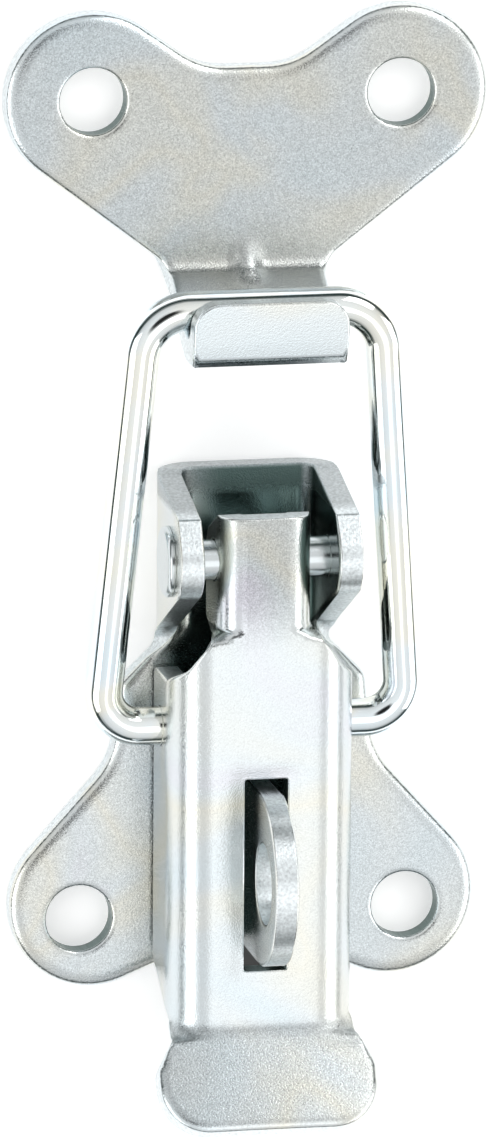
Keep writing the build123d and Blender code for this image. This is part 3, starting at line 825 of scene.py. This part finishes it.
class LATCH_OT_lever(bpy.types.Operator):
    """Press the lever: neck and body channels, the slot, and the finger lip bent up at the crease"""

    bl_idname = "latch.lever"
    bl_label = "Lever"

    face_top = 14.2 * MM
    neck_end_y = 43.4 * MM
    neck_lean = 2.6 * MM  # how far the flanges' ends run back below the face's end
    neck_root_y = 31.0 * MM
    neck_flange_z = 6.1 * MM
    shoulder_y = 26.2 * MM
    flange_z = 3.4 * MM
    flange_foot_y = -4.0 * MM
    flange_tip_z = 10.6 * MM
    crease_y = -9.2 * MM
    crease_bend = 1.1 * MM
    lip_length = 10.4 * MM
    lip_half = 11.2 * MM
    lip_root_half = 9.4 * MM
    lip_flare = 3.6 * MM
    lip_crown = 0.4 * MM
    draw_in = 0.13 * MM
    draw_reach = 1.2 * MM
    slot_ends = (-3.2 * MM, 16.6 * MM)
    slot_corner = (0.3 * MM, 0.22 * MM)  # radius and edge roll
    pin_bore = 2.13 * MM
    wire_bore = 2.03 * MM

    def execute(self, context):
        sheet, size = context.scene.latch_sheet, context.scene.latch_lever
        gauge, small = sheet.thickness, sheet.small_roll
        rivet, wire = joint_at["lever_pivot"], joint_at["bail_pivot"]
        body_radius, neck_radius = size.body_bend + gauge, size.neck_bend + gauge
        body_flat, neck_flat = size.body_half - body_radius, size.neck_half - neck_radius

        def body(z):
            """Blank distance from the middle of a point of the body's outer face at height z."""
            return arc_reach(self.face_top - z, body_flat, body_radius)

        def neck(z):
            """The same on the neck."""
            return arc_reach(self.face_top - z, neck_flat, neck_radius)

        bend_reach = self.crease_bend * tan(size.lip_angle / 2)
        bend_length = self.crease_bend * size.lip_angle
        bends = [(self.crease_y + bend_reach - bend_length, bend_length, -size.lip_angle)]
        lip_root = self.crease_y + 2 * bend_reach - bend_length  # blank distance of the crease's corner, on the lip

        lip_end, flange_side = lip_root - self.lip_length, body(self.flange_z)
        right = corners([
            (0, lip_end, 0, 1.2 * MM),
            (self.lip_half, lip_end, 5.0 * MM, 1.2 * MM),
            (self.lip_half, lip_root - self.lip_flare, 2.0 * MM, 1.1 * MM),
            (self.lip_root_half, self.crease_y - 0.5 * MM, 0.6 * MM, small),
            (body(self.flange_tip_z), self.crease_y + 0.9 * MM, 0.6 * MM, small),
            (flange_side, self.flange_foot_y, 1.5 * MM, small),
            (flange_side, self.shoulder_y, 0.6 * MM, small),
            (body(self.face_top - body_radius), self.shoulder_y, 1.5 * MM, small),
            (8.3 * MM, 27.7 * MM, 3.0 * MM, small),
            (size.neck_half + 0.4 * MM, self.neck_root_y + 0.4 * MM, 0.6 * MM, 0.3 * MM),
            (neck(self.neck_flange_z), self.neck_root_y + 0.8 * MM, 0.6 * MM, 0.3 * MM),
            (neck(self.neck_flange_z), self.neck_end_y - self.neck_lean, 2.4 * MM, 0.3 * MM),
            (neck(self.face_top - neck_radius), self.neck_end_y, 0.9 * MM, 0.3 * MM),
            (0, self.neck_end_y, 0, 0.3 * MM),
        ])
        half, (low, high) = size.slot_width / 2, self.slot_ends
        slot = [(*point, *self.slot_corner) for point in ((half, low), (-half, low), (-half, high), (half, high))]
        loops = [closed(mirrored(right)), rounded(slot)]
        for reach, (_, y, z), bore in ((neck, rivet, self.pin_bore), (body, wire, self.wire_bore)):
            drilled = turned((z, y), bore, 0, 360, small / 2)[:-1]
            drilled[:, 0] = reach(drilled[:, 0])
            drilled[:, 2:4] *= [1, -1]
            loops += [drilled, drilled[::-1] * [-1, 1, -1, 1, 1]]

        def shape(points):
            """Channel section folded downwards, whose fold narrows at the neck's root and runs out at the crease.

            The face is drawn in round the slot by draw_in * exp(-(distance / draw_reach)^2), and the lip is
            crowned by lip_crown * (u / its half width)^2.
            """
            u, v, w = points.T
            narrow = eased(v, self.neck_root_y - 0.7 * MM, self.neck_root_y + 0.9 * MM)
            flat = body_flat + (neck_flat - body_flat) * narrow
            radius = body_radius + (neck_radius - body_radius) * narrow
            share = eased(v, self.crease_y - 1.2 * MM, self.crease_y + 0.8 * MM)
            x, away = across_fold(u, gauge - w, flat, radius, share)
            gap = np.hypot(np.clip(np.abs(u) - half, 0, None), np.clip(np.maximum(v - high, low - v), 0, None))
            away = away + self.draw_in * np.exp(-((gap / self.draw_reach) ** 2))
            lip = 1 - eased(v, self.crease_y - 3 * MM, self.crease_y)
            away = away + self.lip_crown * (u / self.lip_half) ** 2 * lip
            y, z, angle = along_fold(v, bends, 0.0, self.face_top)
            return np.column_stack([x, y + away * np.sin(angle), z - away * np.cos(angle)])

        cut = points, normals, _, _ = blank(loops, gauge, sheet.burr, sheet.spacing)
        across, along = np.abs(points[:, 0]), points[:, 1]
        crease = bends[0][0]
        handled = eased(along, crease, self.crease_y + MM) * (1 - eased(along, 29 * MM, 37 * MM))
        lip = 1 - eased(along, crease - MM, crease)
        beside = 1 - eased(np.abs(across - 4 * MM), MM, 2 * MM)
        neck_fold = eased(along, self.neck_root_y, self.neck_root_y + MM) * beside
        slotted = (across < half + WALL_REACH) & (along > low - WALL_REACH) & (along < high + WALL_REACH)
        share = 0.08 + 0.77 * handled + 0.25 * lip + 0.7 * neck_fold  # hands rub the handle bright
        # painted shade on the lever's underside and on the walls of its slot
        worn_and_shaded = wear_and_painted_shade(normals, share, 0.9 * (normals[:, 2] < 0), 0.9 * slotted)
        pressed(context, "pressed_lever", cut, worn_and_shaded, shape, "lever", "lever")
        return {"FINISHED"}


class LATCH_OT_padlock_eye(bpy.types.Operator):
    """Stamp the padlock eye, which stands through the lever's slot"""

    bl_idname = "latch.padlock_eye"
    bl_label = "Padlock eye"

    middle_y = 6.9 * MM
    radius = 8.8 * MM
    top = 25.0 * MM
    wall = 2.5 * MM
    tongue = 9.0 * MM
    roll = 0.35 * MM
    lower_break = 0.25 * MM
    rim_step = 0.6 * MM

    def execute(self, context):
        sheet, size = context.scene.latch_sheet, context.scene.latch_fittings
        foot, roll = sheet.thickness, self.roll
        middle = -self.middle_y  # the blank's u runs along -Y, which puts its rolled edges on the -X side
        low, high = middle - self.radius, middle + self.radius
        tongue_low, tongue_high = middle - self.tongue / 2, middle + self.tongue / 2
        outer = corners([
            (low, foot + MM, 0, 0),
            (low, foot, 0.4 * MM, roll),
            (tongue_low, foot, 0.3 * MM, 0.0),
            (tongue_low, 0, 0.3 * MM, 0.0),
            (tongue_high, 0, 0.3 * MM, 0.0),
            (tongue_high, foot, 0.3 * MM, 0.0),
            (high, foot, 0.4 * MM, roll),
            (high, foot + MM, 0, 0),
        ])
        outer.append(turned((middle, self.top - self.radius), self.radius, 0, 180, roll))
        hole_z = self.top - self.wall - size.eye_hole / 2
        loops = [closed(outer, self.rim_step), hole((middle, hole_z), size.eye_hole / 2, roll)]
        cut = blank(loops, size.eye_thickness, self.lower_break, sheet.spacing)

        def shape(points):
            """The blank stands up: (u, v, w) goes to (half the thickness - w, -u, v)."""
            u, v, w = points.T
            return np.column_stack([size.eye_thickness / 2 - w, -u, v])

        pressed(context, "stamped_padlock_eye", cut, wear_and_painted_shade(cut[1], 0.6), shape, "base", "lock_staple")
        return {"FINISHED"}


class LATCH_OT_pivot_rivet(bpy.types.Operator):
    """Turn the pivot rivet's section round its axis, with the head at -X and the peened tail at +X"""

    bl_idname = "latch.pivot_rivet"
    bl_label = "Pivot rivet"

    shank = 4.1 * MM
    head_thick = 0.7 * MM
    tail_thick = 0.7 * MM
    pole = 0.1 * MM  # radius of the small flat that closes each end
    step = 1.0 * MM
    around = 72

    def execute(self, context):
        size, ear = context.scene.latch_fittings, context.scene.latch_base.ear_half
        pivot = np.array(joint_at["lever_pivot"])
        tail_x, head_x = ear + self.tail_thick, -ear - self.head_thick
        section = [np.array([[tail_x, self.pole, 1.0, 0.0, 0.0]])]
        section += corners([
            (tail_x, 0, 0, 0),
            (tail_x, size.rivet_tail / 2, 0.55 * MM, 0),
            (ear, size.rivet_tail / 2, 0.08 * MM, 0),
            (ear, self.shank / 2, 0.08 * MM, 0),
            (-ear, self.shank / 2, 0.08 * MM, 0),
            (-ear, size.rivet_head / 2, 0.08 * MM, 0),
            (head_x, size.rivet_head / 2, 0.5 * MM, 0),
            (head_x, 0, 0, 0),
        ])
        section.append(np.array([[head_x, self.pole, -1.0, 0.0, 0.0]]))
        rows = joined(section, self.step)
        stations = pivot + rows[:, :1] * [1, 0, 0]
        directions = np.tile([-1.0, 0, 0], (len(rows), 1))
        skin = swept(stations, directions, np.array([0, 1.0, 0]), rows[:, 1], -rows[:, 2], self.around)
        looks = finished(context, "bright zinc plated rivet")
        made("set_pivot_rivet", *skin, looks, "base", "pivot_rivet", "zinc_rivet")
        return {"FINISHED"}


class LATCH_OT_bail(bpy.types.Operator):
    """Bend the wire bail, whose two ends pass through the lever's flanges"""

    bl_idname = "latch.bail"
    bl_label = "Wire bail"

    hook = (64.22 * MM, 10.90 * MM)  # wire's centre in the hook, Y and Z
    top_half = 14.0 * MM
    foot_half = 17.6 * MM
    top_bend = 5.0 * MM
    foot_bend = 3.8 * MM
    gap = 1.6 * MM
    end_break = 0.5 * MM
    end_rings = 6
    around = 48

    def execute(self, context):
        radius = context.scene.latch_fittings.wire / 2
        pivot = np.array(joint_at["bail_pivot"])
        up = np.array([0, self.hook[0] - pivot[1], self.hook[1] - pivot[2]])
        length = np.linalg.norm(up)
        up /= length
        foot, top = self.foot_half - radius, self.top_half - radius
        gap = self.gap / 2
        path = [np.array([[gap, 0, 0, -1.0, 0]])]
        path += corners([
            (gap, 0, 0, 0),
            (foot, 0, self.foot_bend, 0),
            (top, length, self.top_bend, 0),
            (-top, length, self.top_bend, 0),
            (-foot, 0, self.foot_bend, 0),
            (-gap, 0, 0, 0),
        ])
        path.append(np.array([[-gap, 0, 0, -1.0, 0]]))
        rows = joined(path)
        stations = pivot + rows[:, :1] * [1, 0, 0] + rows[:, 1:2] * up
        directions = rows[:, 3:4] * [-1, 0, 0] + rows[:, 2:3] * up

        # both cut ends are broken by a quarter circle
        angle = np.radians(np.linspace(0, 90, self.end_rings))
        inset = ((1 - np.cos(angle)) * self.end_break)[:, None]
        ends = stations[0] + inset * directions[0], (stations[-1] - inset * directions[-1])[::-1]
        ends_way = [np.tile(directions[i], (self.end_rings, 1)) for i in (0, -1)]
        broken = radius - self.end_break * (1 - np.sin(angle))
        stations = np.concatenate([ends[0], stations[2:-2], ends[1]])
        directions = np.concatenate([ends_way[0], directions[2:-2], ends_way[1]])
        plain = len(stations) - 2 * self.end_rings
        radii = np.concatenate([broken, np.full(plain, radius), broken[::-1]])
        lean = np.concatenate([-np.cos(angle), np.zeros(plain), np.cos(angle[::-1])])
        skin = swept(stations, directions, np.cross([1.0, 0, 0], up), radii, lean, self.around)
        looks = finished(context, "bright zinc plated wire")
        piece = made("bent_bail", *skin, looks, "bail", "bail", "zinc_wire")

        # the wire's own directions for its die lines: round the section, and along the path
        turn = np.linspace(0, 2 * pi, self.around, endpoint=False)
        travelled = np.concatenate([[0], np.cumsum(np.linalg.norm(np.diff(stations, axis=0), axis=1))])
        spots = np.broadcast_arrays(radius * np.cos(turn)[None], radius * np.sin(turn)[None], travelled[:, None])
        drawn = np.concatenate([np.dstack(spots).reshape(-1, 3), [[0, 0, 0], [0, 0, travelled[-1]]]])
        attribute = piece.data.attributes.new("drawn", "FLOAT_VECTOR", "POINT")
        attribute.data.foreach_set("vector", drawn.astype(np.float32).ravel())
        return {"FINISHED"}


# ---------------------------------------------------------------- stage
class LATCH_OT_stage(bpy.types.Operator):
    """Lay the white paper, hang the soft lights and set the camera"""

    bl_idname = "latch.stage"
    bl_label = "Studio"

    middle = (-0.498 * MM, 36.07 * MM, 6.0 * MM)  # what the camera looks at
    paper_half = 1.5
    paper_z = -0.1 * MM
    lights = (  # name, place, width and height, power in watts
        ("overhead", (0.10, -0.15, 0.9), (0.5, 0.5), 0.4),
        ("right window", (0.9, -0.2, 0.45), (1.1, 0.55), 3.2),
        ("left window", (-0.9, -0.2, 0.50), (1.1, 0.55), 3.0),
        ("far window", (0.60, 0.75, 0.60), (0.6, 0.5), 2.4),
    )
    ceiling = 0.98
    # the share of white at each height of a direction: paper below, dark walls, white ceiling above
    heights = ((0.0, 1.0), (0.07, 0.0), (0.26, 0.0), (0.48, 0.75), (0.9, 1.0))
    patch = (radians(18), radians(9))  # outer and inner half angle of the dark camera's patch

    def execute(self, context):
        studio, finish, scene = context.scene.latch_studio, context.scene.latch_finish, context.scene

        paper = bpy.data.meshes.new("paper")
        square = ((-1, -1), (1, -1), (1, 1), (-1, 1))
        sheet = [(x * self.paper_half, y * self.paper_half, self.paper_z) for x, y in square]
        paper.from_pydata(sheet, [], [(0, 1, 2, 3)])
        floor = bpy.data.objects.new("paper", paper)
        paper.materials.append(studio_paper(finish))
        scene.collection.objects.link(floor)

        for name, place, size, power in self.lights:
            light = bpy.data.lights.new(name, "AREA")
            light.shape, light.size, light.size_y, light.energy = "RECTANGLE", *size, power
            lamp = bpy.data.objects.new(name, light)
            lamp.location = place
            lamp.rotation_euler = (Vector(self.middle) - Vector(place)).to_track_quat("-Z", "Y").to_euler()
            scene.collection.objects.link(lamp)

        world = bpy.data.worlds.new("studio")
        world.use_nodes = True
        tree = world.node_tree
        tree.nodes.clear()
        # the room: white ceiling, and darker walls whose reflections draw the edges of bright metal
        way = add(tree, "TexCoord").outputs["Generated"]
        height = add(tree, "SeparateXYZ", {"Vector": way}).outputs["Z"]
        room = [(at, [wall + (self.ceiling - wall) * share for wall in finish.room]) for at, share in self.heights]
        walls = add(tree, "ValToRGB", {"Fac": height}, room).outputs["Color"]
        # the dark camera and its arm, mirrored by every face that looks straight at them
        a, e, r = studio.azimuth, studio.elevation, studio.roll
        back = Vector((-sin(a) * cos(e), sin(e), cos(a) * cos(e)))
        facing = add(tree, "VectorMath", {0: way, 1: back}, operation="DOT_PRODUCT").outputs["Value"]
        outer, inner = (cos(angle) for angle in self.patch)
        dark = {"Value": facing, "From Min": outer, "From Max": inner, "To Min": 1.0, "To Max": 0.02}
        seen = add(tree, "MapRange", dark, interpolation_type="SMOOTHSTEP").outputs["Result"]
        sky = add(tree, "Background", {"Color": walls, "Strength": seen})
        add(tree, "OutputWorld", {"Surface": sky.outputs["Background"]})
        scene.world = world
        scene.view_settings.view_transform = "Standard"

        right = Vector((0, 1, 0)).cross(back).normalized()
        up = back.cross(right)
        right, up = right * cos(r) + up * sin(r), up * cos(r) - right * sin(r)
        camera = bpy.data.cameras.new("camera")
        camera.sensor_fit, camera.sensor_height, camera.sensor_width = "VERTICAL", 24.0, 24.0  # in mm
        camera.lens = studio.lens
        camera.clip_start, camera.clip_end = 0.05, 20.0
        eye = bpy.data.objects.new("camera", camera)
        turn = Matrix((right, up, back)).transposed().to_4x4()
        eye.matrix_world = Matrix.Translation(Vector(self.middle) + back * studio.distance) @ turn
        scene.collection.objects.link(eye)
        scene.camera = eye
        return {"FINISHED"}


# ---------------------------------------------------------------- sidebar
class LATCH_PT_panel(bpy.types.Panel):
    """The latch's pieces, in the order they are made"""

    bl_label = "Over centre toggle latch"
    bl_idname = "LATCH_PT_panel"
    bl_space_type = "VIEW_3D"
    bl_region_type = "UI"
    bl_category = "Latch"

    def draw(self, context):
        for operator in operators:
            self.layout.operator(operator.bl_idname)
        for name in groups:
            group = getattr(context.scene, name)
            box = self.layout.box()
            box.label(text=group.bl_rna.description)
            for key in group.bl_rna.properties.keys():
                if key not in ("rna_type", "name"):
                    box.prop(group, key)


groups = {
    "latch_sheet": LatchSheet,
    "latch_base": LatchBase,
    "latch_lever": LatchLever,
    "latch_catch": LatchCatch,
    "latch_fittings": LatchFittings,
    "latch_finish": LatchFinish,
    "latch_studio": LatchStudio,
}
operators = (
    LATCH_OT_catch_plate,
    LATCH_OT_base_plate,
    LATCH_OT_padlock_eye,
    LATCH_OT_pivot_rivet,
    LATCH_OT_lever,
    LATCH_OT_bail,
    LATCH_OT_stage,
)


def register():
    for name, group in groups.items():
        bpy.utils.register_class(group)
        setattr(bpy.types.Scene, name, PointerProperty(type=group))
    for cls in (*operators, LATCH_PT_panel):
        bpy.utils.register_class(cls)


def unregister():
    for cls in (LATCH_PT_panel, *reversed(operators)):
        bpy.utils.unregister_class(cls)
    for name, group in reversed(groups.items()):
        delattr(bpy.types.Scene, name)
        bpy.utils.unregister_class(group)


def main():
    """Makes every piece and the stage."""
    register()
    for operator in operators:
        family, action = operator.bl_idname.split(".")
        getattr(getattr(bpy.ops, family), action)()


if __name__ == "__main__":
    main()
